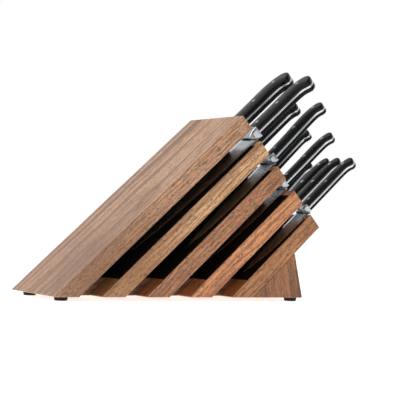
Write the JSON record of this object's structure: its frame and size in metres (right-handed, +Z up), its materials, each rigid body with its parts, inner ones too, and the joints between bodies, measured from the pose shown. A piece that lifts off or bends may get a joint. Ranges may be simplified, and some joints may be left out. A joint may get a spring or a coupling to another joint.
{
  "type": "knife block with knives",
  "caption": "Slanted wooden knife block of spaced parallel boards on a wedge leg, open at both sides, holding riveted full-tang knives that slide out along the slope.",
  "frame": {"origin": "middle of the whole object's box, on the surface that the feet stand on", "axes": "+Z up; +X level, towards the knives' handles; +Y level, from the near side to the far side of the boards"},
  "size_m": [0.46, 0.133, 0.3186],
  "materials": {
    "walnut_wood": "oiled, satin",
    "stained_wood": "black stain, matte",
    "liner_felt": "matte black sheet",
    "foot_rubber": "matte",
    "dowel_wood": "plain",
    "forged_steel": "finely ground blade, polished bolster",
    "handle_plastic": "smooth, lightly glossy",
    "rivet_steel": "polished flush"
  },
  "bodies": {
    "block": {"board_1": "walnut_wood", "board_2": "walnut_wood", "board_3": "walnut_wood", "board_4": "walnut_wood", "board_5": "walnut_wood", "spacer_1": "walnut_wood", "spacer_2": "walnut_wood", "spacer_3": "walnut_wood", "spacer_4": "walnut_wood", "slot_liner_1": "liner_felt", "slot_liner_2": "liner_felt", "slot_liner_3": "liner_felt", "slot_liner_4": "liner_felt", "core_strip_1": "stained_wood", "core_strip_2": "stained_wood", "core_strip_3": "stained_wood", "core_strip_4": "stained_wood", "rear_leg": "walnut_wood", "rubber_feet": "foot_rubber", "dowels": "dowel_wood"},
    "bread_knife": {"bread_knife_blade": "forged_steel", "bread_knife_upper_scale": "handle_plastic", "bread_knife_lower_scale": "handle_plastic", "bread_knife_rivets": "rivet_steel"},
    "chef_knife": {"chef_knife_blade": "forged_steel", "chef_knife_upper_scale": "handle_plastic", "chef_knife_lower_scale": "handle_plastic", "chef_knife_rivets": "rivet_steel"},
    "carving_knife": {"carving_knife_blade": "forged_steel", "carving_knife_upper_scale": "handle_plastic", "carving_knife_lower_scale": "handle_plastic", "carving_knife_rivets": "rivet_steel"},
    "cook_knife": {"cook_knife_blade": "forged_steel", "cook_knife_upper_scale": "handle_plastic", "cook_knife_lower_scale": "handle_plastic", "cook_knife_rivets": "rivet_steel"},
    "boning_knife": {"boning_knife_blade": "forged_steel", "boning_knife_upper_scale": "handle_plastic", "boning_knife_lower_scale": "handle_plastic", "boning_knife_rivets": "rivet_steel"},
    "utility_knife": {"utility_knife_blade": "forged_steel", "utility_knife_upper_scale": "handle_plastic", "utility_knife_lower_scale": "handle_plastic", "utility_knife_rivets": "rivet_steel"},
    "peeling_knife": {"peeling_knife_blade": "forged_steel", "peeling_knife_upper_scale": "handle_plastic", "peeling_knife_lower_scale": "handle_plastic", "peeling_knife_rivets": "rivet_steel"},
    "paring_knife": {"paring_knife_blade": "forged_steel", "paring_knife_upper_scale": "handle_plastic", "paring_knife_lower_scale": "handle_plastic", "paring_knife_rivets": "rivet_steel"},
    "tomato_knife": {"tomato_knife_blade": "forged_steel", "tomato_knife_upper_scale": "handle_plastic", "tomato_knife_lower_scale": "handle_plastic", "tomato_knife_rivets": "rivet_steel"},
    "vegetable_knife": {"vegetable_knife_blade": "forged_steel", "vegetable_knife_upper_scale": "handle_plastic", "vegetable_knife_lower_scale": "handle_plastic", "vegetable_knife_rivets": "rivet_steel"}
  },
  "joints": [
    {"name": "bread_knife_slide", "type": "slide", "parent": "block", "child": "bread_knife", "axis": [0.7373, 0, 0.6756], "range_m": [0, 0.26]},
    {"name": "chef_knife_slide", "type": "slide", "parent": "block", "child": "chef_knife", "axis": [0.7372, -0.014, 0.6755], "range_m": [0, 0.251]},
    {"name": "carving_knife_slide", "type": "slide", "parent": "block", "child": "carving_knife", "axis": [0.7372, 0.0087, 0.6756], "range_m": [0, 0.225]},
    {"name": "cook_knife_slide", "type": "slide", "parent": "block", "child": "cook_knife", "axis": [0.7355, 0.0698, 0.6739], "range_m": [0, 0.188]},
    {"name": "boning_knife_slide", "type": "slide", "parent": "block", "child": "boning_knife", "axis": [0.7355, 0.0698, 0.6739], "range_m": [0, 0.165]},
    {"name": "utility_knife_slide", "type": "slide", "parent": "block", "child": "utility_knife", "axis": [0.7373, 0, 0.6756], "range_m": [0, 0.17]},
    {"name": "peeling_knife_slide", "type": "slide", "parent": "block", "child": "peeling_knife", "axis": [0.7332, 0.1045, 0.6719], "range_m": [0, 0.105]},
    {"name": "paring_knife_slide", "type": "slide", "parent": "block", "child": "paring_knife", "axis": [0.7373, 0, 0.6756], "range_m": [0, 0.115]},
    {"name": "tomato_knife_slide", "type": "slide", "parent": "block", "child": "tomato_knife", "axis": [0.7373, 0, 0.6756], "range_m": [0, 0.13]},
    {"name": "vegetable_knife_slide", "type": "slide", "parent": "block", "child": "vegetable_knife", "axis": [0.7373, 0, 0.6756], "range_m": [0, 0.14]}
  ]
}
